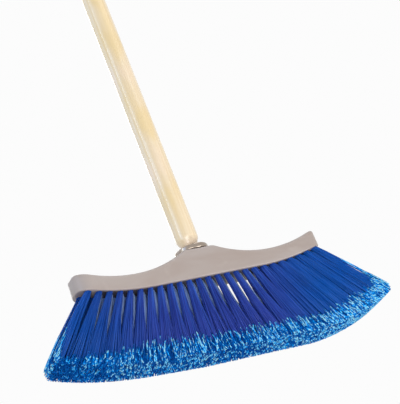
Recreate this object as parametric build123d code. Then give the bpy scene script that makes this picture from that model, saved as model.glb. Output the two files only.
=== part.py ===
from build123d import *

import os
from math import cos, radians, sin, sqrt

# Bow broom: a wooden handle with a metal screw tip, a moulded block with upturned wings,
# and rows of bristle tufts that fan out of blind holes and are held by flat wire anchors.
# Millimetres. +Z runs up the handle, +X along the block and +Y to the back.
# The origin lies under the middle of the block, on the surface that the bristles stand on.

# Block
BLOCK_LENGTH = 278.0
BLOCK_DEPTH = 36.0
BLOCK_CORNER = 15.0
BLOCK_DRAFT = 1.5
WING_THICKNESS = 17.0
BOW_FLAT = 121.0
BOW_RISE = 12.4
END_HEIGHT = 19.0
END_LEAN = 4.0
END_ROUND = 6.0
BOSS_HEIGHT = 32.0
BOSS_FLAT = 33.2
BOSS_ROUND = 9.0
SADDLE_RADIUS = 122.0
TOP_ROUND = 2.6
SOLE_ROUND = 1.2

# Screw tip
THREAD_DIAMETER = 19.05
FLANGE_DIAMETER = 35.0
FLANGE_HEIGHT = 5.3
FLANGE_ROUND = 1.2
TANG_DIAMETER = 10.0
TANG_LENGTH = 34.0
TIP_CHAMFER = 1.5
SOCKET_WEB = 2.5

# Handle
HANDLE_DIAMETER = 23.8
HANDLE_LENGTH = 1200.0
FOOT_DIAMETER = 13.0
FOOT_HEIGHT = 11.0
FOOT_ROUND = 8.0
DOME_HEIGHT = 8.0

# Tufts
ROW_NAMES = ["front_row", "second_row", "third_row", "back_row"]
ROWS = len(ROW_NAMES)
COLUMNS = 25
ROW_EDGE = 6.4
COLUMN_EDGE = 7.0
ROW_SETBACK = 3.5
FAN_ANGLE = 41.5
ROW_LEAN = 4.0
TRIM_MIDDLE = 81.5
TRIM_END = 91.4
TRIM_BULGE = 1.6
SOLE_CUT = 0.5
HOLE_DIAMETER = 6.6
HOLE_DEPTH = 11.0
ROOT_SIDES = 6
STRAND_ROOT_SIDE = 1.6
STRAND_TIP_SIDE = 2.8
STRAND_ROOT_OFFSET = 1.2
STRAND_TIP_OFFSET_X = 4.4
STRAND_TIP_OFFSET_Y = 3.0

# Anchors
ANCHOR_HEIGHT = 2.0
ANCHOR_THICKNESS = 0.45

# Clearances
RUN_CLEARANCE = 0.05
SEAT_CLEARANCE = 0.05
THREAD_CLEARANCE = 0.15
ROOT_CLEARANCE = 0.1

# Tolerances for picking edges and corners
SAME_PLACE = 0.01
MOSTLY_LEVEL = 0.5

# Sizes that follow from the ones above
underside_z = TRIM_MIDDLE - SOLE_CUT
boss_top_z = underside_z + BOSS_HEIGHT
socket_floor = HOLE_DEPTH + SOCKET_WEB
half_length = BLOCK_LENGTH / 2
bow_reach = half_length - BOW_FLAT / 2
bow_radius = (bow_reach**2 + BOW_RISE**2) / (2 * BOW_RISE)
column_reach = half_length - COLUMN_EDGE
row_reach = BLOCK_DEPTH / 2 - ROW_EDGE
row_pitch = 2 * row_reach / (ROWS - 1)
root_radius = HOLE_DIAMETER / 2 - ROOT_CLEARANCE
root_depth = HOLE_DEPTH - ROOT_CLEARANCE


def bow_height(x):
    """Height of the underside at x above its flat middle."""
    past_flat = max(abs(x) - BOW_FLAT / 2, 0)
    return bow_radius - sqrt(bow_radius**2 - past_flat**2)


def block_side_view():
    """Face of the block seen from the front, with the underside's middle at the local origin."""
    saddle_rise = BOSS_HEIGHT - WING_THICKNESS
    dip_x = BOSS_FLAT / 2 + sqrt(SADDLE_RADIUS**2 - (SADDLE_RADIUS - saddle_rise) ** 2)
    wall_lean = END_HEIGHT * sin(radians(END_LEAN))
    wall_rise = END_HEIGHT * cos(radians(END_LEAN))
    flat_end = (BOW_FLAT / 2, 0)
    low_corner = (half_length, BOW_RISE)
    high_corner = (half_length - wall_lean, BOW_RISE + wall_rise)
    dip = (dip_x, WING_THICKNESS)
    shoulder = (BOSS_FLAT / 2, BOSS_HEIGHT)
    boss_middle = (0, BOSS_HEIGHT)
    with BuildSketch(Plane.XZ) as side_view:
        with BuildLine():
            Line((0, 0), flat_end)
            TangentArc(flat_end, low_corner, tangent=(1, 0))
            Line(low_corner, high_corner)
            TangentArc(dip, high_corner, tangent=(1, 0))
            TangentArc(dip, shoulder, tangent=(-1, 0))
            Line(shoulder, boss_middle)
            mirror(about=Plane.YZ)
        make_face()
        corners = side_view.vertices()
        fillet([v for v in corners if abs(abs(v.X) - shoulder[0]) < SAME_PLACE], BOSS_ROUND)
        fillet([v for v in corners if abs(abs(v.X) - high_corner[0]) < SAME_PLACE], END_ROUND)
    return side_view.sketch


def block_body():
    """The block without its holes: the side view cut to a rounded plan with drafted walls."""
    slab = extrude(block_side_view(), BLOCK_DEPTH, both=True)
    plan = RectangleRounded(BLOCK_LENGTH, BLOCK_DEPTH, BLOCK_CORNER)
    column = extrude(plan, BOSS_HEIGHT + BOW_RISE, taper=BLOCK_DRAFT)
    body = slab & column
    top_faces = [f for f in body.faces() if f.normal_at().Z > MOSTLY_LEVEL]
    top_rim = [e for e in body.edges() if is_rim(e, top_faces)]
    body = fillet(top_rim, TOP_ROUND)
    sole_faces = [f for f in body.faces() if f.normal_at().Z < -MOSTLY_LEVEL]
    sole_rim = [e for e in body.edges() if is_rim(e, sole_faces)]
    return fillet(sole_rim, SOLE_ROUND)


def is_rim(edge, faces):
    """True if the edge bounds exactly one of the faces."""
    return sum(any(edge.is_same(other) for other in f.edges()) for f in faces) == 1


def row_span(row):
    """X of the last tuft of a row; the outer rows end sooner, inside the block's rounded ends."""
    outer = row in (0, ROWS - 1)
    return column_reach - ROW_SETBACK if outer else column_reach


def tuft_plane(x, row):
    """Plane at the mouth of a tuft's hole, with its Z axis out of the hole."""
    turn = radians(FAN_ANGLE * x / column_reach)
    y = (row - (ROWS - 1) / 2) * row_pitch
    lean = radians(ROW_LEAN * y / row_reach)
    out = (sin(turn) * cos(lean), sin(lean), -cos(turn) * cos(lean))
    across = (cos(turn), 0, sin(turn))
    return Plane((x, y, underside_z + bow_height(x)), x_dir=across, z_dir=out)


def tuft_length(x):
    """Trim length of a tuft from the underside to its tips, which lie on a bulging curve."""
    outward = (x / column_reach) ** 2
    return TRIM_MIDDLE + (TRIM_END - TRIM_MIDDLE) * outward + 4 * TRIM_BULGE * outward * (1 - outward)


def hole_tool():
    """Blind tuft hole, drawn past its mouth so that it also clears the curved underside."""
    past_mouth = HOLE_DIAMETER
    hole = Cylinder(HOLE_DIAMETER / 2, HOLE_DEPTH + past_mouth)
    return Pos(0, 0, (past_mouth - HOLE_DEPTH) / 2) * hole


def corner_strand(length):
    """Four-sided strand that splays from the root to one corner of its tuft."""
    splay_x = STRAND_TIP_OFFSET_X - STRAND_ROOT_OFFSET
    splay_y = STRAND_TIP_OFFSET_Y - STRAND_ROOT_OFFSET
    growth = (STRAND_TIP_SIDE - STRAND_ROOT_SIDE) / 2
    inner_edge = STRAND_ROOT_OFFSET - STRAND_ROOT_SIDE / 2
    lying = Wedge(
        STRAND_ROOT_SIDE,
        length,
        STRAND_ROOT_SIDE,
        splay_x - growth,
        splay_y - growth,
        splay_x + STRAND_ROOT_SIDE + growth,
        splay_y + STRAND_ROOT_SIDE + growth,
        align=None,
    )
    return Pos(inner_edge, -inner_edge, 0) * Rot(90, 0, 0) * lying


def tuft(length):
    """A tuft: the bundle's folded root in its hole, notched over its anchor, and its strands."""
    root = extrude(RegularPolygon(root_radius, ROOT_SIDES), -root_depth)
    notch = Box(HOLE_DIAMETER, ANCHOR_THICKNESS, ANCHOR_HEIGHT)
    root -= Pos(0, 0, ANCHOR_HEIGHT / 2 - root_depth) * notch
    corner = corner_strand(length)
    right_pair = [corner, mirror(corner, Plane.XZ)]
    left_pair = [mirror(strand, Plane.YZ) for strand in right_pair]
    return root + right_pair + left_pair


def anchor():
    """Flat wire on edge across the bottom of a hole, inside the fold of its tuft."""
    wire = Box(HOLE_DIAMETER - 2 * ROOT_CLEARANCE, ANCHOR_THICKNESS, ANCHOR_HEIGHT)
    return Pos(0, 0, ANCHOR_HEIGHT / 2 - root_depth) * wire


def row_columns(row):
    """X of each tuft in a row; every other row stands between its neighbours."""
    span = row_span(row)
    pitch = 2 * span / (COLUMNS - 1)
    shift = (row % 2) * pitch / 2
    count = COLUMNS - row % 2
    return [shift - span + i * pitch for i in range(count)]


def socket_tool():
    """Blind round socket for the screw tip, open at the boss."""
    radius = THREAD_DIAMETER / 2 + THREAD_CLEARANCE
    depth = BOSS_HEIGHT - socket_floor
    return Pos(0, 0, boss_top_z - depth / 2) * Cylinder(radius, depth)


def broom_block():
    """The moulded block with its socket and its tuft holes."""
    holes = [tuft_plane(x, row) * hole_tool() for row in range(ROWS) for x in row_columns(row)]
    return Pos(0, 0, underside_z) * block_body() - [socket_tool(), *holes]


def threaded_tip():
    """Metal tip: screw stud, round flange that seats on the boss, and tang for the handle."""
    stud = THREAD_DIAMETER / 2
    rim = FLANGE_DIAMETER / 2
    tang = TANG_DIAMETER / 2
    stud_end = socket_floor - BOSS_HEIGHT + 2 * SEAT_CLEARANCE
    tang_end = FLANGE_HEIGHT + TANG_LENGTH
    with BuildSketch(Plane.XZ) as half:
        with BuildLine():
            Polyline(
                (0, stud_end),
                (stud - TIP_CHAMFER, stud_end),
                (stud, stud_end + TIP_CHAMFER),
                (stud, 0),
                (rim, 0),
                (rim, FLANGE_HEIGHT),
                (tang, FLANGE_HEIGHT),
                (tang, tang_end - TIP_CHAMFER),
                (tang - TIP_CHAMFER, tang_end),
                (0, tang_end),
                close=True,
            )
        make_face()
        fillet([v for v in half.vertices() if abs(v.X - rim) < SAME_PLACE], FLANGE_ROUND)
    return Pos(0, 0, boss_top_z + SEAT_CLEARANCE) * revolve(half.sketch, Axis.Z)


def wood_handle():
    """Turned handle: a tapered foot on the flange, a long shank, a domed end and the tang's bore."""
    shank = HANDLE_DIAMETER / 2
    foot = FOOT_DIAMETER / 2
    bore = TANG_DIAMETER / 2 + RUN_CLEARANCE
    bore_end = TANG_LENGTH + SEAT_CLEARANCE
    shank_end = HANDLE_LENGTH - DOME_HEIGHT
    with BuildSketch(Plane.XZ) as half:
        with BuildLine():
            Line((0, bore_end), (bore, bore_end))
            Line((bore, bore_end), (bore, 0))
            Line((bore, 0), (foot, 0))
            Line((foot, 0), (shank, FOOT_HEIGHT))
            Line((shank, FOOT_HEIGHT), (shank, shank_end))
            dome_radius = (shank**2 + DOME_HEIGHT**2) / (2 * DOME_HEIGHT)
            RadiusArc((shank, shank_end), (0, HANDLE_LENGTH), -dome_radius)
            Line((0, HANDLE_LENGTH), (0, bore_end))
        make_face()
        fillet([v for v in half.vertices() if abs(v.Y - FOOT_HEIGHT) < SAME_PLACE], FOOT_ROUND)
    return Pos(0, 0, boss_top_z + FLANGE_HEIGHT + 2 * SEAT_CLEARANCE) * revolve(half.sketch, Axis.Z)


def standing_tuft(x, row):
    """A tuft in its place, trimmed flat where it meets the surface that the broom stands on."""
    placed = tuft_plane(x, row) * tuft(tuft_length(x))
    if placed.bounding_box().min.Z < 0:
        below = Pos(0, 0, -TRIM_MIDDLE / 2) * Box(2 * BLOCK_LENGTH, 2 * BLOCK_LENGTH, TRIM_MIDDLE)
        placed -= below
    return placed


def tuft_column(index):
    """The tufts of one column: two in line, and the two beside them in the other rows."""
    places = [(row_columns(row), row) for row in range(ROWS)]
    return [standing_tuft(xs[index], row) for xs, row in places if index < len(xs)]


def row_anchors(row):
    """The anchors of one row."""
    return [tuft_plane(x, row) * anchor() for x in row_columns(row)]


def nodes():
    """Every piece or group of like pieces, by name."""
    yield "broom_block", [broom_block()]
    yield "threaded_tip", [threaded_tip()]
    yield "wood_handle", [wood_handle()]
    for index in range(COLUMNS):
        yield f"tuft_column_{index + 1:02d}", tuft_column(index)
    for row, name in enumerate(ROW_NAMES):
        yield f"{name}_anchors", row_anchors(row)


os.makedirs("parts", exist_ok=True)
for name, pieces in nodes():
    solids = [solid for piece in pieces for solid in piece.solids()]
    shape = solids[0] if len(solids) == 1 else Compound(children=solids)
    export_step(shape, f"parts/{name}.step")
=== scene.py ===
"""Looks of a bow broom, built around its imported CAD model.

The block, the handle and the wire anchors keep their CAD shapes and get detailed finishes. The
tufts are replaced by bundles of fine filaments with flagged, split tips, and the screw tip by a
turned piece with a real screw thread. Every length is in metres, in the frame of the CAD model.
"""

import logging
from abc import ABC, abstractmethod
from dataclasses import dataclass
from enum import Enum
from math import cos, exp, pi, radians, sin, sqrt, tan

import bpy
import numpy as np
from mathutils import Matrix, Vector


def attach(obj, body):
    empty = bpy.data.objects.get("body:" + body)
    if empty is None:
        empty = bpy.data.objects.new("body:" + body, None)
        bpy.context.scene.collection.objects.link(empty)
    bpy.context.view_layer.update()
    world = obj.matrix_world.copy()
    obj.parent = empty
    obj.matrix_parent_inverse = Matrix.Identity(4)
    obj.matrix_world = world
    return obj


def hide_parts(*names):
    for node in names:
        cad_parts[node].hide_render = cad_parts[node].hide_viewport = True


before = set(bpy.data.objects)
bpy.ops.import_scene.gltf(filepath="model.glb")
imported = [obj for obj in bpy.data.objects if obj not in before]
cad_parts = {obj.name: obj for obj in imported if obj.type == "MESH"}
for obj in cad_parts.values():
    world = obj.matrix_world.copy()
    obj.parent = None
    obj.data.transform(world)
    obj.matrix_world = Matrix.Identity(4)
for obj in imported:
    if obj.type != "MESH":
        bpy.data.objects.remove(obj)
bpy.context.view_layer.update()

log = logging.getLogger("bow_broom")

Colour = tuple[float, float, float]
Place = tuple[float, float, float]
Span = tuple[float, float]

BACKDROP: Colour = (0.973, 0.973, 0.973)


class Body(str, Enum):
    """Bodies of the CAD model that pieces ride on."""

    HEAD = "head"
    TIP = "tip"
    HANDLE = "handle"


class Slot(str, Enum):
    """Material slots of the record."""

    BLOCK = "block_plastic"
    TIP = "tip_metal"
    BRISTLE = "bristle_blue"


class Flank(Enum):
    """Side of the screw joint that a thread belongs to."""

    STUD = "stud"
    SOCKET = "socket"


class Axis(Enum):
    """Axes of a vector."""

    X = "X"
    Y = "Y"
    Z = "Z"


def screen_colour(red: int, green: int, blue: int) -> Colour:
    """Linear colour of a screen colour given in steps of 1/255, by the usual screen curve."""
    shares = (red / 255, green / 255, blue / 255)
    return tuple(s / 12.92 if s <= 0.04045 else ((s + 0.055) / 1.055) ** 2.4 for s in shares)


@dataclass(frozen=True)
class Pattern:
    """A noise over a place: the place's stretch along each axis, then the noise's own settings."""

    stretch: Place = (1.0, 1.0, 1.0)
    scale: float = 1.0
    detail: float = 3.0
    warp: float = 0.0


class Wire:
    """An output socket that adds Math nodes when it is used in an expression."""

    def __init__(self, sheet: "NodeSheet", socket: bpy.types.NodeSocket) -> None:
        """Keeps the sheet that the socket's node is on."""
        self.sheet = sheet
        self.socket = socket

    def math(self, operation: str, *others: "Wire | float") -> "Wire":
        """Adds a Math node with this socket as its first value.

        Args:
            operation: The Math node's operation.
            others: The values after the first one.

        Returns:
            The node's result.
        """
        values = dict(enumerate((self, *others)))
        return self.sheet.add("ShaderNodeMath", {"operation": operation}, values)

    def __add__(self, other: "Wire | float") -> "Wire":
        """This value plus another."""
        return self.math("ADD", other)

    __radd__ = __add__

    def __mul__(self, other: "Wire | float") -> "Wire":
        """This value times another."""
        return self.math("MULTIPLY", other)

    __rmul__ = __mul__

    def __sub__(self, other: "Wire | float") -> "Wire":
        """This value less another."""
        return self.math("SUBTRACT", other)

    def __rsub__(self, other: float) -> "Wire":
        """A number less this value."""
        return self.math("MULTIPLY", -1.0) + other

    def between(self, low: float, high: float) -> "Wire":
        """This value brought to 0 at low and 1 at high, smoothly and within those limits."""
        inputs = {"Value": self, "From Min": low, "From Max": high}
        return self.sheet.add("ShaderNodeMapRange", {"interpolation_type": "SMOOTHSTEP"}, inputs)


class NodeSheet:
    """The node tree of one material or of the world."""

    # Sockets of a Mix node for colours, by their places, because several share one name.
    MIX_SHARE = 0
    MIX_FIRST = 6
    MIX_SECOND = 7
    MIX_RESULT = 2

    def __init__(self, owner: bpy.types.Material | bpy.types.World) -> None:
        """Empties the owner's node tree.

        Args:
            owner: The material or world that the nodes are for.
        """
        owner.use_nodes = True
        self.tree = owner.node_tree
        self.tree.nodes.clear()

    def add(
        self,
        kind: str,
        settings: dict | None = None,
        inputs: dict | None = None,
        output: int | str = 0,
    ) -> Wire:
        """Adds a node.

        Args:
            kind: The node's type.
            settings: The node's own settings, or "stops" for a ramp.
            inputs: Values or wires by the names or places of the sockets.
            output: Name or place of the socket to return.

        Returns:
            One of the node's outputs.
        """
        node = self.tree.nodes.new(kind)
        for name, value in (settings or {}).items():
            if name == "stops":
                self.set_stops(node.color_ramp, value)
            else:
                setattr(node, name, value)
        for name, value in (inputs or {}).items():
            self.feed(node.inputs[name], value)
        return Wire(self, node.outputs[output])

    def feed(self, socket: bpy.types.NodeSocket, value: "Wire | float | tuple") -> None:
        """Links a wire to a socket, or sets the socket to a value.

        Args:
            socket: The input socket.
            value: A wire, a number, a vector, or a colour without its alpha.
        """
        if isinstance(value, Wire):
            self.tree.links.new(value.socket, socket)
        elif isinstance(value, tuple) and len(value) < len(socket.default_value):
            socket.default_value = (*value, 1.0)
        else:
            socket.default_value = value

    @staticmethod
    def set_stops(ramp: bpy.types.ColorRamp, stops: list[tuple[float, Colour]]) -> None:
        """Gives a ramp its stops, of which new ones start in its middle.

        Args:
            ramp: The ramp.
            stops: The place and the colour of each stop.
        """
        while len(ramp.elements) < len(stops):
            ramp.elements.new(0.5)
        for element, (place, colour) in zip(ramp.elements, stops):
            element.position = place
            element.color = (*colour, 1.0)

    def mix(self, share: Wire | float, first: Wire | Colour, second: Wire | Colour) -> Wire:
        """A colour that goes from first to second as share goes from 0 to 1."""
        sockets = {self.MIX_SHARE: share, self.MIX_FIRST: first, self.MIX_SECOND: second}
        return self.add("ShaderNodeMix", {"data_type": "RGBA"}, sockets, self.MIX_RESULT)

    def place(self, scale: Place = (1.0, 1.0, 1.0), shift: Place = (0.0, 0.0, 0.0)) -> Wire:
        """Place on the object, stretched and then shifted.

        Args:
            scale: The stretch along each axis.
            shift: The shift along each axis.

        Returns:
            The place.
        """
        spot = self.add("ShaderNodeTexCoord", output="Object")
        settings = {"operation": "MULTIPLY_ADD"}
        return self.add("ShaderNodeVectorMath", settings, {0: spot, 1: scale, 2: shift})

    def part(self, vector: Wire, axis: Axis) -> Wire:
        """The part of a vector along an axis."""
        return self.add("ShaderNodeSeparateXYZ", None, {0: vector}, axis.value)

    def length(self, vector: Wire) -> Wire:
        """The length of a vector."""
        return self.add("ShaderNodeVectorMath", {"operation": "LENGTH"}, {0: vector}, "Value")

    def noise(self, pattern: Pattern, spot: Wire | None = None) -> Wire:
        """Noise from 0 to 1.

        Args:
            pattern: The noise's pattern.
            spot: The place to lay it over, or None for the place on the object.

        Returns:
            The noise.
        """
        inputs = {
            "Vector": self.place(pattern.stretch) if spot is None else spot,
            "Scale": pattern.scale,
            "Detail": pattern.detail,
            "Distortion": pattern.warp,
        }
        return self.add("ShaderNodeTexNoise", None, inputs)

    def bump(self, height: Wire, depth: float, strength: float = 1.0) -> Wire:
        """Normal of a surface raised by a height from 0 to 1 times depth."""
        inputs = {"Height": height, "Distance": depth, "Strength": strength}
        return self.add("ShaderNodeBump", None, inputs)

    def principled(self, inputs: dict) -> Wire:
        """A Principled surface with these inputs."""
        return self.add("ShaderNodeBsdfPrincipled", None, inputs)

    def finish(self, surface: Wire, kind: str = "ShaderNodeOutputMaterial") -> None:
        """Links a shader to the output."""
        output = self.tree.nodes.new(kind)
        self.tree.links.new(surface.socket, output.inputs["Surface"])


class Finish(ABC):
    """A finish that a piece can be dressed in."""

    NAME = "finish"

    @abstractmethod
    def surface(self, sheet: NodeSheet) -> Wire:
        """Lays out the finish's nodes on a sheet and returns its shader."""

    def material(self) -> bpy.types.Material:
        """Builds the finish's material.

        Returns:
            The material.
        """
        made = bpy.data.materials.new(self.NAME)
        sheet = NodeSheet(made)
        sheet.finish(self.surface(sheet))
        return made


@dataclass(frozen=True)
class MouldedPlastic(Finish):
    """Satin moulded plastic with a fine grain, faint flow marks and a few rubbed spots.

    Where it faces down among the tufts, between the rows, painted shade darkens it.
    """

    NAME = "moulded_plastic"

    colour: Colour = screen_colour(169, 154, 145)
    roughness: float = 0.34
    specular: float = 0.45
    flow: Pattern = Pattern(stretch=(9.0, 30.0, 42.0), detail=4.0, warp=0.8)
    flow_limits: Span = (0.35, 0.68)
    flow_colour: Colour = screen_colour(176, 164, 157)
    rub: Pattern = Pattern(scale=38.0, detail=6.0, warp=0.5)
    rub_limits: Span = (0.58, 0.74)
    rub_colour: Colour = screen_colour(196, 186, 178)
    rub_share: float = 0.25
    rub_gloss: float = 0.08
    grain: Pattern = Pattern(scale=1 / 0.0006, detail=2.0)
    grain_depth: float = 0.00003
    grain_roughness: float = 0.12
    painted_shade_colour: Colour = screen_colour(48, 47, 62)
    painted_shade_share: float = 0.85
    painted_shade_facing: Span = (0.7, 0.9)
    painted_shade_reach: Span = (0.120, 0.0150)
    painted_shade_fade: float = 0.0015

    def painted_shade(self, sheet: NodeSheet) -> Wire:
        """Share of the surface that painted shade darkens.

        Args:
            sheet: The sheet of the material.

        Returns:
            The share, from 0 to 1.
        """
        # Painted shade: a dark bluish colour on the faces that point down between the tuft rows.
        facing = sheet.add("ShaderNodeNewGeometry", output="Normal")
        downward = sheet.part(facing, Axis.Z) * -1.0
        share = downward.between(*self.painted_shade_facing) * self.painted_shade_share
        spot = sheet.place()
        for axis, reach in zip((Axis.X, Axis.Y), self.painted_shade_reach):
            off_middle = sheet.part(spot, axis).math("ABSOLUTE")
            share = share * (1.0 - off_middle.between(reach - self.painted_shade_fade, reach + self.painted_shade_fade))
        return share

    def surface(self, sheet: NodeSheet) -> Wire:
        """Lays out the finish's nodes.

        Args:
            sheet: The sheet of the material.

        Returns:
            The finish's shader.
        """
        flow = sheet.noise(self.flow).between(*self.flow_limits)
        rub = sheet.noise(self.rub).between(*self.rub_limits)
        grain = sheet.noise(self.grain)
        body = sheet.mix(flow, self.colour, self.flow_colour)
        body = sheet.mix(rub * self.rub_share, body, self.rub_colour)
        return sheet.principled(
            {
                "Base Color": sheet.mix(self.painted_shade(sheet), body, self.painted_shade_colour),
                "Roughness": self.roughness + self.grain_roughness * grain - self.rub_gloss * rub,
                "Normal": sheet.bump(grain, self.grain_depth),
                "Specular IOR Level": self.specular,
            }
        )


@dataclass(frozen=True)
class PlatedMetal(Finish):
    """Plated turned metal with fine rings from the lathe and a little dulling."""

    NAME = "plated_metal"

    colour: Colour = (0.36, 0.30, 0.25)
    roughness: float = 0.16
    rings: Pattern = Pattern(stretch=(30.0, 30.0, 2500.0), detail=2.0)
    ring_depth: float = 0.00002
    ring_strength: float = 0.5
    ring_roughness: float = 0.1
    dulling: Pattern = Pattern(scale=260.0, detail=5.0)
    dull_limits: Span = (0.45, 0.75)
    dull_colour: Colour = (0.25, 0.20, 0.17)
    dull_share: float = 0.6
    dull_roughness: float = 0.12

    def surface(self, sheet: NodeSheet) -> Wire:
        """Lays out the finish's nodes.

        Args:
            sheet: The sheet of the material.

        Returns:
            The finish's shader.
        """
        rings = sheet.noise(self.rings)
        dull = sheet.noise(self.dulling).between(*self.dull_limits)
        return sheet.principled(
            {
                "Base Color": sheet.mix(dull * self.dull_share, self.colour, self.dull_colour),
                "Metallic": 1.0,
                "Roughness": self.roughness + self.ring_roughness * rings + self.dull_roughness * dull,
                "Normal": sheet.bump(rings, self.ring_depth, self.ring_strength),
            }
        )


@dataclass(frozen=True)
class LacqueredWood(Finish):
    """Pale straight-grained wood, golden and rosy by stretches, under clear lacquer."""

    NAME = "lacquered_wood"

    light: Colour = screen_colour(246, 227, 192)
    dark: Colour = screen_colour(232, 206, 162)
    roughness: float = 0.36
    coat_roughness: float = 0.22
    coat_ior: float = 1.65
    pith: Span = (0.019, 0.031)
    ring_width: float = 0.0032
    ring_tone: float = 0.45
    drift: Pattern = Pattern(stretch=(14.0, 14.0, 2.2))
    drift_reach: float = 0.012
    drift_tone: float = 0.15
    fibres: Pattern = Pattern(stretch=(900.0, 900.0, 16.0), detail=4.0)
    fibre_limits: Span = (0.3, 0.7)
    fibre_tone: float = 0.4
    fibre_roughness: float = 0.1
    fibre_depth: float = 0.00003
    fibre_strength: float = 0.6
    pores: Pattern = Pattern(stretch=(1900.0, 1900.0, 70.0), detail=1.0)
    pore_limits: Span = (0.66, 0.74)
    pore_colour: Colour = screen_colour(206, 172, 126)
    pore_share: float = 0.3
    pore_dip: float = 0.5
    figure: Pattern = Pattern(stretch=(34.0, 34.0, 13.0), detail=2.0)
    figure_share: float = 0.75
    golden: Colour = screen_colour(236, 208, 148)
    golden_limits: Span = (0.48, 0.64)
    rosy: Colour = screen_colour(248, 222, 194)
    rosy_limits: Span = (0.5, 0.66)

    def surface(self, sheet: NodeSheet) -> Wire:
        """Lays out the finish's nodes.

        Args:
            sheet: The sheet of the material.

        Returns:
            The finish's shader.
        """
        drift = sheet.noise(self.drift)
        from_pith = sheet.place((1.0, 1.0, 0.0), (*self.pith, 0.0))
        turns = (sheet.length(from_pith) + drift * self.drift_reach) * (2 * pi / self.ring_width)
        rings = turns.math("SINE") * 0.5 + 0.5
        fibres = sheet.noise(self.fibres)
        pores = sheet.noise(self.pores).between(*self.pore_limits)
        tone = rings * self.ring_tone + fibres.between(*self.fibre_limits) * self.fibre_tone
        body = sheet.mix(tone + drift * self.drift_tone, self.light, self.dark)
        figure = sheet.noise(self.figure)
        golden = figure.between(*self.golden_limits)
        body = sheet.mix(golden * self.figure_share, body, self.golden)
        rosy = (1.0 - figure).between(*self.rosy_limits)
        body = sheet.mix(rosy * self.figure_share, body, self.rosy)
        height = fibres - self.pore_dip * pores
        return sheet.principled(
            {
                "Base Color": sheet.mix(pores * self.pore_share, body, self.pore_colour),
                "Roughness": self.roughness + self.fibre_roughness * fibres,
                "Normal": sheet.bump(height, self.fibre_depth, self.fibre_strength),
                "Coat Weight": 1.0,
                "Coat Roughness": self.coat_roughness,
                "Coat IOR": self.coat_ior,
            }
        )


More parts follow.
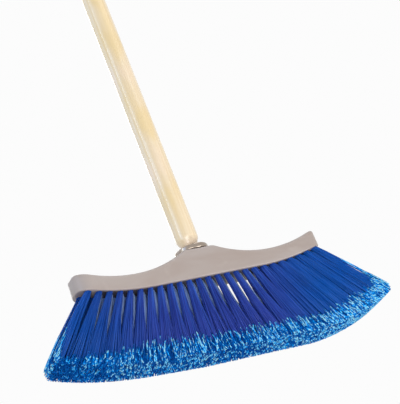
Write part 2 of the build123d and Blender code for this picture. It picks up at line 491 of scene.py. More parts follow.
@dataclass(frozen=True)
class BristleFilament(Finish):
    """Extruded filament, deep blue along its length and pale where its tip is flagged.

    Across the map each filament has one of a number of shades, from dark to light, and along the
    map runs its length. The lightest shades mark the inner rows, whose filaments are painted pale
    as painted light showing through the gaps between tufts.
    """

    NAME = "bristle_filament"

    map_name: str = "OFBake"
    shades: int = 64
    streak: Pattern = Pattern()
    streak_stretch: float = 24.0
    streak_roughness: float = 0.14
    deep: Colour = screen_colour(43, 66, 160)
    bright: Colour = screen_colour(52, 97, 196)
    glint: Colour = screen_colour(70, 140, 230)
    body_roughness: float = 0.34
    body_specular: float = 0.18
    body_streak: float = 0.3
    painted_body_shade: float = 0.5
    painted_body_shade_span: Span = (0.1, 0.65)
    outer: Colour = screen_colour(0, 83, 173)
    left_span: Span = (0.06, 0.16)
    left_share: float = 0.85
    right_span: Span = (0.04, 0.12)
    right_share: float = 0.95
    painted_gap_light: Colour = screen_colour(170, 202, 255)
    painted_gap_light_shade: float = 0.95
    painted_gap_light_fade: float = 0.01
    flag_start: float = 0.7
    flag_fade: Span = (0.03, 0.02)
    flag_roughness: float = 0.5
    flag_specular: float = 0.05
    flag_shade_share: float = 0.75
    flag_streak: float = 1.4
    tip_deep: Colour = screen_colour(0, 70, 152)
    tip: Colour = screen_colour(0, 108, 196)
    tip_pale: Colour = screen_colour(0, 148, 252)
    tip_light: Colour = screen_colour(16, 186, 255)
    tip_white: Colour = screen_colour(140, 224, 255)
    tip_glint: Colour = screen_colour(175, 238, 255)

    def body_colour(self, sheet: NodeSheet, across: Wire, along: Wire, streak: Wire) -> Wire:
        """Colour of the filaments before their tips, with another blue at the fan's two ends.

        It holds painted shade towards the tips, a painted glint in the lightest shade and painted
        light on the inner rows.

        Args:
            sheet: The sheet of the material.
            across: Place across the map, which is the filament's shade.
            along: Place along the map.
            streak: Streaks about 0.

        Returns:
            The colour.
        """
        tone = across + streak * self.body_streak
        # Painted shade: the filaments darken along their length towards the flagged tips, where light
        # from below falls.
        tone = tone - self.painted_body_shade * along.between(*self.painted_body_shade_span)
        # The glint stop is a painted highlight on the lightest filaments.
        stops = [(0.2, self.deep), (0.8, self.bright), (0.95, self.bright), (1.0, self.glint)]
        inner = sheet.add("ShaderNodeValToRGB", {"stops": stops}, {0: tone})
        spread = sheet.part(sheet.place(), Axis.X)
        left_end = (spread * -1.0).between(*self.left_span) * self.left_share
        right_end = spread.between(*self.right_span) * self.right_share
        body = sheet.mix(left_end.math("MAXIMUM", right_end), inner, self.outer)
        # Painted light: the inner rows' filaments are pale blue, standing in for light through the
        # gaps.
        painted_gap_light = across.between(self.painted_gap_light_shade, self.painted_gap_light_shade + self.painted_gap_light_fade)
        return sheet.mix(painted_gap_light, body, self.painted_gap_light)

    def flag_colour(self, sheet: NodeSheet, across: Wire, streak: Wire) -> Wire:
        """Colour of the flagged tips.

        Args:
            sheet: The sheet of the material.
            across: Place across the map, which is the flag's shade.
            streak: Streaks about 0.

        Returns:
            The colour.
        """
        # The paler stops are the split ends' own paler colour; the whitest stops also hold painted
        # glints.
        stops = [
            (0.18, self.tip_deep),
            (0.34, self.tip),
            (0.54, self.tip),
            (0.6, self.tip_pale),
            (0.66, self.tip_light),
            (0.76, self.tip_white),
            (0.86, self.tip_glint),
        ]
        tone = across * self.flag_shade_share + streak * self.flag_streak
        return sheet.add("ShaderNodeValToRGB", {"stops": stops}, {0: tone})

    def surface(self, sheet: NodeSheet) -> Wire:
        """Lays out the finish's nodes.

        Args:
            sheet: The sheet of the material.

        Returns:
            The finish's shader.
        """
        spot = sheet.add("ShaderNodeUVMap", {"uv_map": self.map_name})
        across = sheet.part(spot, Axis.X)
        along = sheet.part(spot, Axis.Y)
        stretch = {0: spot, 1: (float(self.shades), self.streak_stretch, 1.0)}
        streak_spot = sheet.add("ShaderNodeVectorMath", {"operation": "MULTIPLY"}, stretch)
        streak = sheet.noise(self.streak, streak_spot)
        swing = streak - 0.5
        filament = sheet.principled(
            {
                "Base Color": self.body_colour(sheet, across, along, swing),
                "Roughness": self.body_roughness + self.streak_roughness * streak,
                "Specular IOR Level": self.body_specular,
            }
        )
        split_end = sheet.principled(
            {
                "Base Color": self.flag_colour(sheet, across, swing),
                "Roughness": self.flag_roughness + self.streak_roughness * streak,
                "Specular IOR Level": self.flag_specular,
            }
        )
        before, after = self.flag_fade
        share = along.between(self.flag_start - before, self.flag_start + after)
        return sheet.add("ShaderNodeMixShader", None, {0: share, 1: filament, 2: split_end})


@dataclass(frozen=True)
class DrawnWire(Finish):
    """Bright flat wire with drawing marks."""

    NAME = "drawn_wire"

    colour: Colour = (0.60, 0.60, 0.60)
    roughness: float = 0.28
    marks: Pattern = Pattern(stretch=(120.0, 4000.0, 4000.0), detail=2.0)
    mark_colour: Colour = (0.42, 0.42, 0.43)
    mark_roughness: float = 0.2

    def surface(self, sheet: NodeSheet) -> Wire:
        """Lays out the finish's nodes.

        Args:
            sheet: The sheet of the material.

        Returns:
            The finish's shader.
        """
        marks = sheet.noise(self.marks)
        return sheet.principled(
            {
                "Base Color": sheet.mix(marks, self.colour, self.mark_colour),
                "Metallic": 1.0,
                "Roughness": self.roughness + self.mark_roughness * marks,
            }
        )


@dataclass(frozen=True)
class PaleFloor(Finish):
    """Pale paper that keeps the broom's shadow and fades into the backdrop further off.

    It is seen from above only, and lets all light by.
    """

    NAME = "pale_floor"

    colour: Colour = (0.82, 0.82, 0.82)
    backdrop: Colour = BACKDROP
    glow_share: float = 0.4
    glow_reach: Span = (0.4, 1.5)

    def surface(self, sheet: NodeSheet) -> Wire:
        """Lays out the finish's nodes.

        Args:
            sheet: The sheet of the material.

        Returns:
            The finish's shader.
        """
        paper = sheet.add("ShaderNodeBsdfDiffuse", None, {"Color": self.colour})
        glow = sheet.add("ShaderNodeEmission", None, {"Color": self.backdrop})
        clear = sheet.add("ShaderNodeBsdfTransparent")
        far = sheet.length(sheet.place()).between(*self.glow_reach)
        share = self.glow_share + (1 - self.glow_share) * far
        top = sheet.add("ShaderNodeMixShader", None, {0: share, 1: paper, 2: glow})
        seen = sheet.add("ShaderNodeLightPath", output="Is Camera Ray")
        below = sheet.add("ShaderNodeNewGeometry", output="Backfacing")
        shown = seen * (1 - below)
        return sheet.add("ShaderNodeMixShader", None, {0: shown, 1: clear, 2: top})


def new_piece(name: str, mesh: bpy.types.Mesh, body: Body) -> bpy.types.Object:
    """Adds a piece of the broom to the scene.

    Args:
        name: The piece's name.
        mesh: Its mesh, in the frame of the CAD model.
        body: The body that it moves with.

    Returns:
        The new object.
    """
    piece = bpy.data.objects.new(name, mesh)
    bpy.context.scene.collection.objects.link(piece)
    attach(piece, body.value)
    log.info("%s: %d faces on %s", name, len(mesh.polygons), body.value)
    return piece


def dress(piece: bpy.types.Object, material: bpy.types.Material) -> None:
    """Gives a piece one material all over."""
    piece.data.materials.clear()
    piece.data.materials.append(material)


def unit(vectors: np.ndarray) -> np.ndarray:
    """The vectors at length 1."""
    return vectors / np.linalg.norm(vectors, axis=-1, keepdims=True)


@dataclass
class StrandBatch:
    """Three-sided strands that share their number of rings, with their map and end caps.

    The path, the radius and the place along the map are given by strand and ring, and the shade,
    from 0 to 1, by strand. A strand keeps to its shade's column of the map, within a margin.
    """

    SIDES = 3
    MAP_MARGIN = 0.1

    path: np.ndarray
    radius: np.ndarray
    shade: np.ndarray
    along: np.ndarray

    def corners(self) -> np.ndarray:
        """Works out the corner points.

        Returns:
            The points, by strand, ring and side.
        """
        forward = unit(np.gradient(self.path, axis=1))
        aside = unit(np.cross(forward, (0.0, 1.0, 0.0)))
        above = np.cross(forward, aside)
        angle = 2 * pi * (np.arange(self.SIDES) / self.SIDES + self.shade[:, None])
        spokes = (
            np.cos(angle)[:, None, :, None] * aside[:, :, None]
            + np.sin(angle)[:, None, :, None] * above[:, :, None]
        )
        return self.path[:, :, None] + self.radius[:, :, None, None] * spokes

    def walls(self) -> np.ndarray:
        """Lists the four-sided faces along the strands.

        Returns:
            The numbers of their corners, an array of faces by four.
        """
        strands, rings = self.path.shape[:2]
        strand, ring, side = np.meshgrid(
            np.arange(strands), np.arange(rings - 1), np.arange(self.SIDES), indexing="ij"
        )
        low = (strand * rings + ring) * self.SIDES
        high = low + self.SIDES
        after = (side + 1) % self.SIDES
        faces = np.stack([low + side, low + after, high + after, high + side], -1)
        return faces.reshape(-1, 4)

    def wall_map(self, shades: int) -> np.ndarray:
        """Places on the map of the walls' corners.

        Args:
            shades: How many columns of shade the map holds.

        Returns:
            An array of corners by two.
        """
        column = np.floor(self.shade * shades)[:, None, None]
        side = np.arange(self.SIDES)[None, None, :]
        width = 1 - 2 * self.MAP_MARGIN
        left = (column + self.MAP_MARGIN + width * side / self.SIDES) / shades
        right = (column + self.MAP_MARGIN + width * (side + 1) / self.SIDES) / shades
        low = self.along[:, :-1, None]
        high = self.along[:, 1:, None]
        left, right, low, high = np.broadcast_arrays(left, right, low, high)
        spots = [(left, low), (right, low), (right, high), (left, high)]
        return np.stack([np.stack(spot, -1) for spot in spots], -2).reshape(-1, 2)

    def caps(self) -> np.ndarray:
        """Lists the faces that close the strands at both ends.

        Returns:
            The numbers of their corners, an array of faces by the number of sides.
        """
        strands, rings = self.path.shape[:2]
        first = np.arange(strands)[:, None] * rings * self.SIDES + np.arange(self.SIDES)
        last = first + (rings - 1) * self.SIDES
        return np.vstack([first[:, ::-1], last])

    def cap_map(self, shades: int) -> np.ndarray:
        """Places on the map of the caps' corners.

        Args:
            shades: How many columns of shade the map holds.

        Returns:
            An array of corners by two.
        """
        middle = (np.floor(self.shade * shades) + 0.5) / shades
        ends = [np.stack([middle, self.along[:, end]], -1) for end in (0, -1)]
        return np.repeat(np.vstack(ends), self.SIDES, 0)


def strand_mesh(name: str, batches: list[StrandBatch], map_name: str, shades: int) -> bpy.types.Mesh:
    """Joins batches of strands into one mesh.

    Args:
        name: The mesh's name.
        batches: The strands.
        map_name: Name of the mesh's map.
        shades: How many columns of shade the map holds.

    Returns:
        The mesh.
    """
    points = []
    walls = []
    caps = []
    count = 0
    for batch in batches:
        corners = batch.corners().reshape(-1, 3)
        points.append(corners)
        walls.extend((batch.walls() + count).tolist())
        caps.extend((batch.caps() + count).tolist())
        count += len(corners)
    spots = [batch.wall_map(shades) for batch in batches]
    spots += [batch.cap_map(shades) for batch in batches]
    mesh = bpy.data.meshes.new(name)
    mesh.from_pydata(np.vstack(points).tolist(), [], walls + caps)
    layer = mesh.uv_layers.new(name=map_name)
    layer.uv.foreach_set("vector", np.vstack(spots).astype(np.float32).ravel())
    mesh.shade_smooth()
    return mesh


@dataclass(frozen=True)
class FanSpace:
    """The space that the bristles fan out through, from the block's bowed underside to the trim.

    A point of it is given by its place (x, y) on the underside and its distance out of it.
    """

    column_reach: float = 0.132
    row_reach: float = 0.0116
    fan_angle: float = radians(41.5)
    row_lean: float = radians(4.0)
    side_set: float = 0.0032
    underside: float = 0.081
    bow_flat: float = 0.121
    bow_reach: float = 0.0785
    bow_rise: float = 0.0124
    trim_middle: float = 0.0815
    trim_end: float = 0.0914
    trim_bulge: float = 0.0012
    trim_sway: float = 0.0059
    sway_turn: float = 0.75
    trim_droop: float = 0.0021
    corner_width: float = 0.0065
    corner_drop: float = 0.010
    sole_clearance: float = 0.0006
    limit_x: float = 0.1347
    limit_y: float = 0.0140
    end_layer: float = 0.004

    def bow(self, x: np.ndarray) -> np.ndarray:
        """Height of the underside above its flat middle.

        Args:
            x: Places along the underside.

        Returns:
            The heights.
        """
        radius = (self.bow_reach**2 + self.bow_rise**2) / (2 * self.bow_rise)
        past = np.maximum(np.abs(x) - self.bow_flat / 2, 0)
        return radius - np.sqrt(radius**2 - past**2)

    def angles(self, x: np.ndarray, y: np.ndarray) -> tuple[np.ndarray, np.ndarray]:
        """Turn to the side and lean to the back that the fan has over places."""
        return self.fan_angle * x / self.column_reach, self.row_lean * y / self.row_reach

    def point(self, x: np.ndarray, y: np.ndarray, out: np.ndarray) -> np.ndarray:
        """Points of the fan.

        Args:
            x: Places along the underside.
            y: Places across the underside.
            out: Distances out of the underside.

        Returns:
            The points, in the frame of the CAD model.
        """
        turn, lean = self.angles(x, y)
        mouth_z = self.underside + self.bow(x)
        return np.stack(
            [
                x + out * np.sin(turn) * np.cos(lean) + self.side_set * (out / self.trim_middle) ** 2,
                y + out * np.sin(lean),
                mouth_z - out * np.cos(turn) * np.cos(lean),
            ],
            -1,
        )

    def trim(self, x: np.ndarray, y: np.ndarray) -> np.ndarray:
        """Distance from the underside to the tips: a swaying curve with rounded ends, off the floor.

        Args:
            x: Places along the underside.
            y: Places across the underside.

        Returns:
            The distances.
        """
        side = x / self.column_reach
        outward = side**2
        length = self.trim_middle + (self.trim_end - self.trim_middle) * outward
        length = length + 4 * self.trim_bulge * outward * (1 - outward)
        length = length + self.trim_sway * side * (1 - outward / self.sway_turn)
        length = length - self.trim_droop * outward**2
        past = (np.abs(x) - self.limit_x) / self.corner_width + 1
        length = length - self.corner_drop * (1 - np.sqrt(1 - np.clip(past, 0, 1) ** 2))
        drop = self.underside + self.bow(x) - self.sole_clearance
        turn, lean = self.angles(x, y)
        return np.minimum(length, drop / (np.cos(turn) * np.cos(lean)))


@dataclass
class TuftRoutes:
    """Places on the underside that a tuft's filaments stand over, from their roots to their tips.

    The filaments keep within the limit, and the higher the splay, the later they spread.
    """

    root: np.ndarray
    end: np.ndarray
    bend: np.ndarray
    limit: np.ndarray
    splay: float

    def at(self, share: np.ndarray) -> np.ndarray:
        """Places along the filaments.

        Args:
            share: Shares of the filaments' lengths, by filament and step.

        Returns:
            The places, by filament and step.
        """
        opened = share[..., None] ** self.splay
        arc = np.sin(pi * share)[..., None]
        spread = (self.end - self.root)[:, None] * opened
        return self.root[:, None] + spread + self.bend[:, None] * arc


@dataclass
class FlaggedTips:
    """The fine, paler ends that filaments split into at their tips.

    Their shades are alike within small specks, and the share of pale ones changes along the fan.
    """

    space: FanSpace
    finish: BristleFilament
    radius: float = 0.00035
    steps: tuple[float, ...] = (-0.06, 0.3, 0.66, 1.0)
    taper: tuple[float, ...] = (1.0, 1.0, 0.95, 0.85)
    map_steps: tuple[float, ...] = (0.02, 0.1, 0.19, 0.28)
    end_play: float = 0.004
    stray: float = 0.0012
    kink: float = 0.0008
    end_kink: float = 0.5
    speck_seed: int = 7
    speck_grid: tuple[int, int] = (360, 60)
    speck_size: Span = (0.0010, 0.0022)
    speck_stretch: float = 0.3
    clumping: float = 0.85
    face_depth: float = 0.0015
    plain_shade: float = 0.5
    pale_shade: float = 0.82
    pale_bulk: float = 2.0
    pale_shares: tuple[float, ...] = (0.16, 0.27, 0.19, 0.29, 0.62)
    # The higher share of pale flags on the end faces is partly painted glints along the outermost
    # filaments.
    outer_pale: float = 0.42
    left_calm: float = 0.4

    def __post_init__(self) -> None:
        """Draws the shades of the specks."""
        self.specks = np.random.default_rng(self.speck_seed).uniform(0, 1, self.speck_grid)

    def speck_shade(self, place: np.ndarray) -> np.ndarray:
        """Shades of the specks that flags end in.

        Args:
            place: The places on the underside that the flags end over.

        Returns:
            The shades, from 0 to 1.
        """
        shrink = self.speck_stretch * place[:, 0] ** 2 / (2 * self.space.column_reach)
        along = place[:, 0] - shrink
        cell = np.floor(np.stack([along, place[:, 1]], -1) / self.speck_size).astype(int)
        columns, rows = self.speck_grid
        return self.specks[cell[:, 0] % columns, cell[:, 1] % rows]

    def tones(self, tip: np.ndarray, chance: np.random.Generator) -> tuple[np.ndarray, np.ndarray]:
        """Shades of flags.

        Args:
            tip: The places on the underside that the flags end over.
            chance: Source of the small differences between flags.

        Returns:
            The shades, from 0 to 1, and which of the flags are pale.
        """
        count = len(tip)
        inside = np.abs(tip[:, 1]) < self.space.limit_y - self.face_depth
        clumped = inside & (chance.uniform(0, 1, count) < self.clumping)
        shade = np.where(clumped, self.speck_shade(tip), chance.uniform(0, 1, count))
        side = tip[:, 0] / self.space.column_reach
        facing_out = np.abs(tip[:, 0]) > self.space.limit_x - self.space.end_layer
        stations = np.linspace(-1, 1, len(self.pale_shares))
        pale_share = np.interp(side, stations, self.pale_shares)
        pale_share = np.where(facing_out, self.outer_pale, pale_share)
        rank = shade / (1 - pale_share)
        pale = rank >= 1
        pale_tone = 1 - (1 - self.pale_shade) * (1 - shade) / pale_share
        shade = np.where(pale, pale_tone, self.plain_shade * rank)
        # The left quarter grows calmer towards its end.
        calm = np.where(facing_out, 0, self.left_calm * np.clip(-1 - 2 * side, 0, 1))
        return shade + (self.plain_shade - shade) * calm, pale

    def batch(
        self,
        routes: TuftRoutes,
        full: np.ndarray,
        split: np.ndarray,
        chance: np.random.Generator,
    ) -> StrandBatch:
        """One of the fine ends that each filament of a tuft splits into.

        Args:
            routes: The routes of the filaments.
            full: Lengths of the filaments.
            split: Shares of the lengths at which the filaments split.
            chance: Source of the small differences between flags.

        Returns:
            The flags.
        """
        count = len(full)
        steps = np.array(self.steps)
        share = split[:, None] + (1 - split)[:, None] * steps
        share[:, -1] -= chance.uniform(0, self.end_play, count)
        stray = chance.normal(0, self.stray, (count, 1, 2)) * np.clip(steps, 0, 1)[:, None]
        kink = chance.normal(0, self.kink, (count, len(steps), 2))
        kink[:, 0] = 0
        kink[:, -1] *= self.end_kink
        limit = routes.limit[:, None]
        place = np.clip(routes.at(share) + stray + kink, -limit, limit)
        cut = self.space.trim(place[..., 0], place[..., 1])
        out = np.minimum(share * full[:, None], cut)
        out[:, -1] = cut[:, -1] * share[:, -1]
        shade, pale = self.tones(place[:, -1], chance)
        bulk = np.where(pale, self.pale_bulk, 1.0)
        along = self.finish.flag_start + np.array(self.map_steps)
        return StrandBatch(
            self.space.point(place[..., 0], place[..., 1], out),
            bulk[:, None] * (self.radius * np.array(self.taper)),
            shade,
            np.broadcast_to(along, share.shape),
        )


@dataclass
class BristleFan:
    """Rows of tufts that fan out of the block's underside, made of fine filaments.

    Left of the middle the outer tufts stay apart for a while, right of it slits show between them,
    and further right, as at the left end, they run into each other. The inner rows are painted paler,
    as painted light that shows through the gaps.
    """

    space: FanSpace
    finish: BristleFilament
    tips: FlaggedTips
    columns: int = 25
    rows: int = 4
    row_setback: float = 0.0035
    filaments: int = 70
    flags: int = 2
    seed_step: int = 1000
    roundness: float = 0.3
    bundle_radius: float = 0.0029
    outer_bundle_radius: float = 0.0027
    merged_radius: float = 0.0031
    root_play: Span = (0.92, 1.04)
    root_depth: float = 0.007
    filament_radius: float = 0.00048
    bend_play: float = 0.0003
    trim_play: float = 0.0002
    spread: Span = (0.0072, 0.0060)
    patch_play: Span = (0.92, 1.06)
    patch_jitter: float = 0.06
    patch_shift: float = 0.08
    end_crowding: float = 0.5
    crowding_power: int = 9
    face_play: float = 0.0007
    splay_left: float = 1.25
    splay_inner: float = 0.42
    splay_merged: float = 0.2
    splay_end_power: int = 8
    slit_splay: float = 3.0
    slit_place: float = 0.032
    slit_reach: float = 0.016
    left_merge_place: float = 0.112
    left_merge_reach: float = 0.014
    flag_length: Span = (0.012, 0.023)
    flag_scales: tuple[float, ...] = (0.36, 1.15, 0.87, 0.82, 1.05)
    outer_growth: float = 1.6
    body_shares: tuple[float, ...] = (0.0, 0.05, 0.4, 1.0)
    body_map: tuple[float, ...] = (0.0, 0.06, 0.22, 0.44)
    map_gap: float = 0.02
    tuft_tone: float = 0.2
    plain_range: float = 0.93
    painted_gap_light_tone: float = 0.97
    painted_gap_light_range: float = 0.02
    painted_gap_light_reach: float = 0.119

    def tuft_places(self, column: int) -> list[Span]:
        """Places of a column's tufts; every other row stands between its neighbours.

        Args:
            column: The column's number, from 0 at the left.

        Returns:
            The places (x, y) on the underside, from the front row to the back row.
        """
        places = []
        for row in range(self.rows):
            outer = row in (0, self.rows - 1)
            reach = self.space.column_reach - self.row_setback if outer else self.space.column_reach
            if column < self.columns - row % 2:
                x = ((2 * column + row % 2) / (self.columns - 1) - 1) * reach
                places.append((x, (2 * row / (self.rows - 1) - 1) * self.space.row_reach))
        return places

    def inner(self, y: float) -> bool:
        """Whether a tuft stands in one of the inner rows."""
        return abs(y) < self.space.row_reach / 2

    def merging(self, x: float) -> float:
        """How far tufts run into each other, right of the slits and at the left end.

        Args:
            x: Place of the tuft along the underside.

        Returns:
            A share from 0 to 1.
        """
        right = (x - self.slit_place) / (2 * self.slit_reach)
        left = (-x - self.left_merge_place) / self.left_merge_reach
        return min(max(right, left, 0.0), 1.0)

    def mouth_radius(self, x: float, y: float) -> float:
        """Radius of a tuft where it leaves the block.

        Args:
            x: Place of the tuft along the underside.
            y: Place of the tuft across the underside.

        Returns:
            The radius.
        """
        if self.inner(y):
            return self.bundle_radius
        growth = self.merged_radius - self.outer_bundle_radius
        return self.outer_bundle_radius + growth * self.merging(x)

    def flare(self, x: float, y: float) -> float:
        """Power that a tuft spreads with: low where tufts soon meet, and high where slits show.

        Args:
            x: Place of the tuft along the underside.
            y: Place of the tuft across the underside.

        Returns:
            The power.
        """
        slit = exp(-(((x - self.slit_place) / self.slit_reach) ** 2))
        outward = (x / self.space.column_reach) ** self.splay_end_power
        merged = self.splay_merged + (self.splay_inner - self.splay_merged) * outward
        plain = self.splay_left + (merged - self.splay_left) * self.merging(x)
        if self.inner(y):
            plain = self.splay_inner
        return plain + (self.slit_splay - plain) * slit

    def bundle(self, chance: np.random.Generator) -> tuple[np.ndarray, np.ndarray]:
        """Spreads a tuft's filaments evenly, by the golden angle.

        Args:
            chance: Source of the bundle's turn.

        Returns:
            Where they leave their hole, in a disc, and where they end, in a squarer patch, within 1.
        """
        number = np.arange(self.filaments)
        radius = np.sqrt((number + 0.5) / self.filaments)
        angle = number * pi * (3 - sqrt(5)) + chance.uniform(0, 2 * pi)
        disc = radius[:, None] * np.stack([np.cos(angle), np.sin(angle)], -1)
        square = disc / np.abs(disc).max(-1, keepdims=True) * radius[:, None]
        return disc, self.roundness * disc + (1 - self.roundness) * square

    def routes(self, x: float, y: float, chance: np.random.Generator) -> TuftRoutes:
        """Routes of one tuft's filaments.

        Args:
            x: Place of the tuft along the underside.
            y: Place of the tuft across the underside.
            chance: Source of the small differences between filaments.

        Returns:
            The routes.
        """
        count = self.filaments
        middle = np.array([x, y])
        disc, patch = self.bundle(chance)
        patch = patch * chance.uniform(*self.patch_play)
        patch = patch + chance.normal(0, self.patch_jitter, patch.shape)
        crowding = self.end_crowding * (x / self.space.column_reach) ** self.crowding_power
        patch[:, 0] += chance.normal(0, self.patch_shift) + crowding
        root = middle + self.mouth_radius(x, y) * chance.uniform(*self.root_play) * disc
        corner = self.space.corner_width * (1 - np.sin(chance.uniform(0, pi / 2, count)))
        face = chance.uniform(0, self.face_play, count)
        limit = np.stack([self.space.limit_x - corner, self.space.limit_y - face], -1)
        end = np.clip(middle + np.array(self.spread) * np.clip(patch, -1, 1), -limit, limit)
        bend = chance.normal(0, self.bend_play, (count, 2))
        return TuftRoutes(root, end, bend, limit, self.flare(x, y))

    def flag_lengths(self, x: float, end: np.ndarray, chance: np.random.Generator) -> np.ndarray:
        """Lengths that one tuft's filaments are split along, longer at the fan's two ends.

        Args:
            x: Place of the tuft along the underside.
            end: Places on the underside that the filaments end over.
            chance: Source of the small differences between filaments.

        Returns:
            The lengths.
        """
        reach = self.space.column_reach
        stations = np.linspace(-reach, reach, len(self.flag_scales))
        scale = np.interp(x, stations, self.flag_scales)
        past = (np.abs(end[:, 0]) - self.space.limit_x) / self.space.end_layer + 1
        growth = scale + self.outer_growth * np.clip(past, 0, 1)
        return chance.uniform(*self.flag_length, len(end)) * growth

    def tuft(self, x: float, y: float, chance: np.random.Generator) -> list[StrandBatch]:
        """Filaments of one tuft and the flags that their tips split into.

        Args:
            x: Place of the tuft along the underside.
            y: Place of the tuft across the underside.
            chance: Source of the small differences between filaments.

        Returns:
            The filaments and the flags.
        """
        count = self.filaments
        routes = self.routes(x, y, chance)
        full = self.space.trim(routes.end[:, 0], routes.end[:, 1])
        full = full - np.abs(chance.normal(0, self.trim_play, count))
        split = 1 - self.flag_lengths(x, routes.end, chance) / full
        share = split[:, None] * np.array(self.body_shares)
        place = routes.at(share)
        body = self.space.point(place[..., 0], place[..., 1], share * full[:, None])
        depth = np.full(count, -self.root_depth)
        inside = self.space.point(routes.root[:, 0], routes.root[:, 1], depth)
        shade = (1 - self.tuft_tone) * chance.uniform(0, 1, count) + chance.uniform(0, self.tuft_tone)
        # Painted light: inner rows near the middle take the palest shades, for light through the gaps.
        if self.inner(y) and abs(x) < self.painted_gap_light_reach:
            shade = self.painted_gap_light_tone + self.painted_gap_light_range * shade
        else:
            shade = self.plain_range * shade
        along = np.array([*self.body_map, self.finish.flag_start - self.map_gap])
        batches = [
            StrandBatch(
                np.concatenate([inside[:, None], body], 1),
                np.full((count, len(along)), self.filament_radius),
                shade,
                np.broadcast_to(along, (count, len(along))),
            )
        ]
        for _ in range(self.flags):
            batches.append(self.tips.batch(routes, full, split, chance))
        return batches

    def build(self) -> None:
        """Replaces every tuft column of the CAD model by filaments."""
        material = self.finish.material()
        for column in range(self.columns):
            batches = []
            for number, (x, y) in enumerate(self.tuft_places(column)):
                chance = np.random.default_rng(self.seed_step * column + number)
                batches.extend(self.tuft(x, y, chance))
            name = f"bristles_{column + 1:02d}"
            mesh = strand_mesh(name, batches, self.finish.map_name, self.finish.shades)
            piece = new_piece(name, mesh, Body.HEAD)
            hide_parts(f"tuft_column_{column + 1:02d}")
            dress(piece, material)


def turned_mesh(
    name: str,
    profile: list[Span],
    steps: int = 96,
    sharp_angle: float = radians(40),
) -> bpy.types.Mesh:
    """Mesh of a profile turned about the Z axis.

    Args:
        name: The mesh's name.
        profile: Points (radius, z) from one end of the axis to the other.
        steps: Steps round the axis.
        sharp_angle: Angle from which an edge is shown sharp.

    Returns:
        The closed mesh.
    """
    radius, height = np.array(profile).T
    angle = 2 * pi * np.arange(steps) / steps
    ring = np.stack([np.cos(angle), np.sin(angle)], -1)
    flat = radius[:, None, None] * ring[None]
    level = np.broadcast_to(height[:, None, None], (*flat.shape[:2], 1))
    points = np.concatenate([flat, level], -1).reshape(-1, 3)
    faces = []
    for row in range(len(profile) - 1):
        low = row * steps
        high = low + steps
        for step in range(steps):
            after = (step + 1) % steps
            faces.append((low + step, low + after, high + after, high + step))
    faces.append(tuple(range(steps))[::-1])
    faces.append(tuple((len(profile) - 1) * steps + step for step in range(steps)))
    mesh = bpy.data.meshes.new(name)
    mesh.from_pydata(points.tolist(), [], faces)
    mesh.shade_smooth()
    mesh.set_sharp_from_angle(angle=sharp_angle)
    return mesh


def ridge_mesh(name: str, sections: np.ndarray) -> bpy.types.Mesh:
    """Mesh of a section that is carried along a path.

    Args:
        name: The mesh's name.
        sections: Points, by step along the path and corner of the section.

    Returns:
        The closed mesh.
    """
    steps, sides = sections.shape[:2]
    last = sides * (steps - 1)
    faces = []
    for low in range(0, last, sides):
        high = low + sides
        for side in range(sides):
            after = (side + 1) % sides
            faces.append((low + side, high + side, high + after, low + after))
    faces.append(tuple(range(sides)))
    faces.append(tuple(range(last, last + sides))[::-1])
    mesh = bpy.data.meshes.new(name)
    mesh.from_pydata(sections.reshape(-1, 3).tolist(), [], faces)
    return mesh


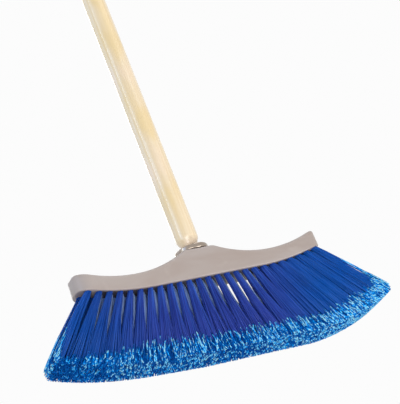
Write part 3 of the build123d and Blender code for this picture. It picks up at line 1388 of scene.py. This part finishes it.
@dataclass
class ScrewTip:
    """Metal tip of the handle: a flange on the block's boss, a screw stud below and a tang above."""

    seat: float = 0.11305
    stud_length: float = 0.0184
    crest_radius: float = 0.00950
    core_radius: float = 0.0071
    socket_radius: float = 0.00967
    flange_radius: float = 0.0175
    flange_height: float = 0.0053
    flange_round: float = 0.0012
    round_steps: int = 5
    tang_radius: float = 0.005
    tang_length: float = 0.034
    chamfer: float = 0.0015
    centre_radius: float = 0.0002
    pitch: float = 0.00508
    flank_angle: float = radians(14.5)
    flank_gap: float = 0.0002
    crest_gap: float = 0.0003
    thread_sink: float = 0.0002
    thread_steps: int = 56
    run_out: float = radians(60)
    finish: PlatedMetal = PlatedMetal()

    def profile(self) -> list[Span]:
        """Outline of the tip without its thread, from the end of the stud to the end of the tang.

        Returns:
            Points (radius, z).
        """
        stud_end = self.seat - self.stud_length
        top = self.seat + self.flange_height
        tang_end = top + self.tang_length
        rim = self.flange_round
        inner = self.flange_radius - rim
        turns = [radians(90 * step / self.round_steps) for step in range(self.round_steps + 1)]
        low = [(inner + rim * sin(turn), self.seat + rim * (1 - cos(turn))) for turn in turns]
        high = [(inner + rim * cos(turn), top - rim * (1 - sin(turn))) for turn in turns]
        return [
            (self.centre_radius, stud_end),
            (self.core_radius - self.chamfer, stud_end),
            (self.core_radius, stud_end + self.chamfer),
            (self.core_radius, self.seat),
            *low,
            *high,
            (self.tang_radius, top),
            (self.tang_radius, tang_end - self.chamfer),
            (self.tang_radius - self.chamfer, tang_end),
            (self.centre_radius, tang_end),
        ]

    def thread_mesh(self, name: str, flank: Flank) -> bpy.types.Mesh:
        """Ridge of the screw thread, right-handed, with tapered ends.

        Args:
            name: The mesh's name.
            flank: Whether the ridge stands out of the stud or into it from the socket.

        Returns:
            The mesh.
        """
        half_pitch = self.pitch / 2
        turns = (self.stud_length - self.chamfer - half_pitch) / self.pitch
        steps = int(turns * self.thread_steps)
        angle = np.linspace(0, 2 * pi * turns, steps)
        foot = self.seat - self.stud_length + self.chamfer / 2 + self.pitch / 3
        if flank is Flank.STUD:
            base = self.core_radius - self.thread_sink
            crest = self.crest_radius
            shift = 0.0
        else:
            base = self.socket_radius + self.thread_sink
            crest = self.core_radius + self.crest_gap
            shift = half_pitch
        rise = abs(crest - base)
        crest_half = half_pitch / 2 - rise / 2 * tan(self.flank_angle) - self.flank_gap / 2
        base_half = crest_half + rise * tan(self.flank_angle)
        fade = np.clip(np.minimum(angle, angle[-1] - angle) / self.run_out, 0, 1)
        peak = base + (crest - base) * fade
        valley = np.full(steps, base)
        middle = foot + shift + self.pitch * angle / (2 * pi)
        section = [(valley, -base_half), (peak, -crest_half), (peak, crest_half), (valley, base_half)]
        if flank is Flank.SOCKET:
            section.reverse()
        rows = [
            np.stack([radius * np.cos(angle), radius * np.sin(angle), middle + offset], -1)
            for radius, offset in section
        ]
        return ridge_mesh(name, np.stack(rows, 1))

    def build(self, block_material: bpy.types.Material) -> None:
        """Replaces the CAD model's tip by a turned one, and cuts threads on it and in its socket.

        Args:
            block_material: The finish of the block, which the socket's thread is moulded in.
        """
        material = self.finish.material()
        core = new_piece("screw_tip", turned_mesh("screw_tip", self.profile()), Body.TIP)
        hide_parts("threaded_tip")
        dress(core, material)
        stud = self.thread_mesh("stud_thread", Flank.STUD)
        dress(new_piece("stud_thread", stud, Body.HANDLE), material)
        socket = self.thread_mesh("socket_thread", Flank.SOCKET)
        dress(new_piece("socket_thread", socket, Body.HEAD), block_material)


@dataclass
class Block:
    """The moulded block, which keeps its CAD shape, and the wire anchors inside it."""

    finish: MouldedPlastic = MouldedPlastic()
    wire: DrawnWire = DrawnWire()
    anchor_rows: tuple[str, ...] = ("front_row", "second_row", "third_row", "back_row")

    def build(self) -> bpy.types.Material:
        """Dresses the block and its anchors.

        Returns:
            The block's material.
        """
        material = self.finish.material()
        dress(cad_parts["broom_block"], material)
        wire = self.wire.material()
        for row in self.anchor_rows:
            dress(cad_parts[f"{row}_anchors"], wire)
        log.info("block and anchors dressed")
        return material


@dataclass
class Handle:
    """The turned wooden handle, which keeps its CAD shape."""

    finish: LacqueredWood = LacqueredWood()

    def build(self) -> None:
        """Dresses the handle."""
        dress(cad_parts["wood_handle"], self.finish.material())
        log.info("handle dressed")


@dataclass(frozen=True)
class Softbox:
    """A soft lamp, as wide and as tall as its size says, that faces the broom."""

    name: str
    spot: Place
    size: Span
    power: float
    colour: Colour = (1.0, 1.0, 1.0)
    aim: Place = (0.0, 0.0, 0.15)

    def build(self) -> None:
        """Adds the lamp."""
        lamp = bpy.data.lights.new(self.name, "AREA")
        lamp.energy = self.power
        lamp.shape = "RECTANGLE"
        lamp.size, lamp.size_y = self.size
        lamp.color = self.colour
        holder = bpy.data.objects.new(self.name, lamp)
        holder.location = self.spot
        facing = Vector(self.aim) - Vector(self.spot)
        holder.rotation_euler = facing.to_track_quat("-Z", "Y").to_euler()
        holder.visible_camera = False
        bpy.context.scene.collection.objects.link(holder)


@dataclass
class Studio:
    """Pale floor, soft lamps, white surroundings and the camera of the photograph."""

    floor_size: float = 24.0
    floor_finish: PaleFloor = PaleFloor()
    backdrop: Colour = BACKDROP
    ambient: Colour = (0.46, 0.46, 0.47)
    azimuth: float = radians(-29.92)
    elevation: float = radians(-21.49)
    roll: float = radians(21.71)
    distance: float = 1.7403
    aim: Place = (0.0305, 0.0, 0.1689)
    lens: float = 150.9
    sensor: float = 36.0
    lamps: tuple[Softbox, ...] = (
        Softbox("front_softbox", (-0.7, -1.5, -0.5), (1.0, 1.0), 12.0),
        Softbox("low_softbox", (1.0, -0.8, -1.4), (1.0, 1.0), 19.0),
        Softbox("left_strip", (-1.77, -0.31, 0.8), (0.12, 1.5), 3.8, (0.75, 0.9, 1.0)),
        Softbox("left_sky", (-1.6, -0.6, 0.5), (0.6, 1.5), 4.0, (0.25, 0.5, 1.0)),
        Softbox("left_rim", (-1.4, 0.95, 1.5), (1.2, 1.2), 4.5, (0.42, 0.64, 1.0), (0.0, 0.0, 0.6)),
        Softbox("top_softbox", (0.9, -1.1, 1.9), (1.2, 1.2), 12.0),
        Softbox("back_softbox", (0.4, 1.9, 1.3), (1.2, 1.2), 12.0),
    )

    def floor(self) -> None:
        """Adds the floor that the broom stands on."""
        half = self.floor_size / 2
        mesh = bpy.data.meshes.new("floor")
        corners = [(-half, -half, 0), (half, -half, 0), (half, half, 0), (-half, half, 0)]
        mesh.from_pydata(corners, [], [(0, 1, 2, 3)])
        floor = bpy.data.objects.new("floor", mesh)
        bpy.context.scene.collection.objects.link(floor)
        dress(floor, self.floor_finish.material())

    def surroundings(self) -> None:
        """Makes the world white to the eye and in reflections, and a plain soft light elsewhere."""
        world = bpy.data.worlds.new("studio_world")
        bpy.context.scene.world = world
        sheet = NodeSheet(world)
        camera = sheet.add("ShaderNodeLightPath", output="Is Camera Ray")
        glossy = sheet.add("ShaderNodeLightPath", output="Is Glossy Ray")
        through = sheet.add("ShaderNodeLightPath", output="Is Transmission Ray")
        seen = camera.math("MAXIMUM", glossy).math("MAXIMUM", through)
        colour = sheet.mix(seen, self.ambient, self.backdrop)
        light = sheet.add("ShaderNodeBackground", None, {"Color": colour, "Strength": 1.0})
        sheet.finish(light, "ShaderNodeOutputWorld")

    def camera(self) -> None:
        """Adds the camera at the photograph's viewing angle, looking up from below the floor."""
        az, el = self.azimuth, self.elevation
        back = Vector((sin(az) * cos(el), -cos(az) * cos(el), sin(el)))
        level = Vector((cos(az), sin(az), 0.0))
        upright = back.cross(level)
        right = cos(self.roll) * level - sin(self.roll) * upright
        up = back.cross(right)
        spot = Vector(self.aim) + self.distance * back
        lens = bpy.data.cameras.new("camera")
        lens.sensor_fit = "VERTICAL"
        lens.sensor_height = self.sensor
        lens.lens = self.lens
        holder = bpy.data.objects.new("camera", lens)
        turn = Matrix((right, up, back)).transposed()
        holder.matrix_world = Matrix.Translation(spot) @ turn.to_4x4()
        bpy.context.scene.collection.objects.link(holder)
        bpy.context.scene.camera = holder

    def build(self) -> None:
        """Adds everything round the broom."""
        self.floor()
        self.surroundings()
        self.camera()
        for lamp in self.lamps:
            lamp.build()
        bpy.context.scene.view_settings.view_transform = "Standard"
        log.info("studio ready with %d lamps", len(self.lamps))


def main() -> None:
    """Builds the broom's looks piece by piece, then the studio."""
    logging.basicConfig(level=logging.INFO, format="%(message)s")
    block_material = Block().build()
    Handle().build()
    ScrewTip().build(block_material)
    space = FanSpace()
    filament = BristleFilament()
    BristleFan(space, filament, FlaggedTips(space, filament)).build()
    Studio().build()


if __name__ == "__main__":
    main()
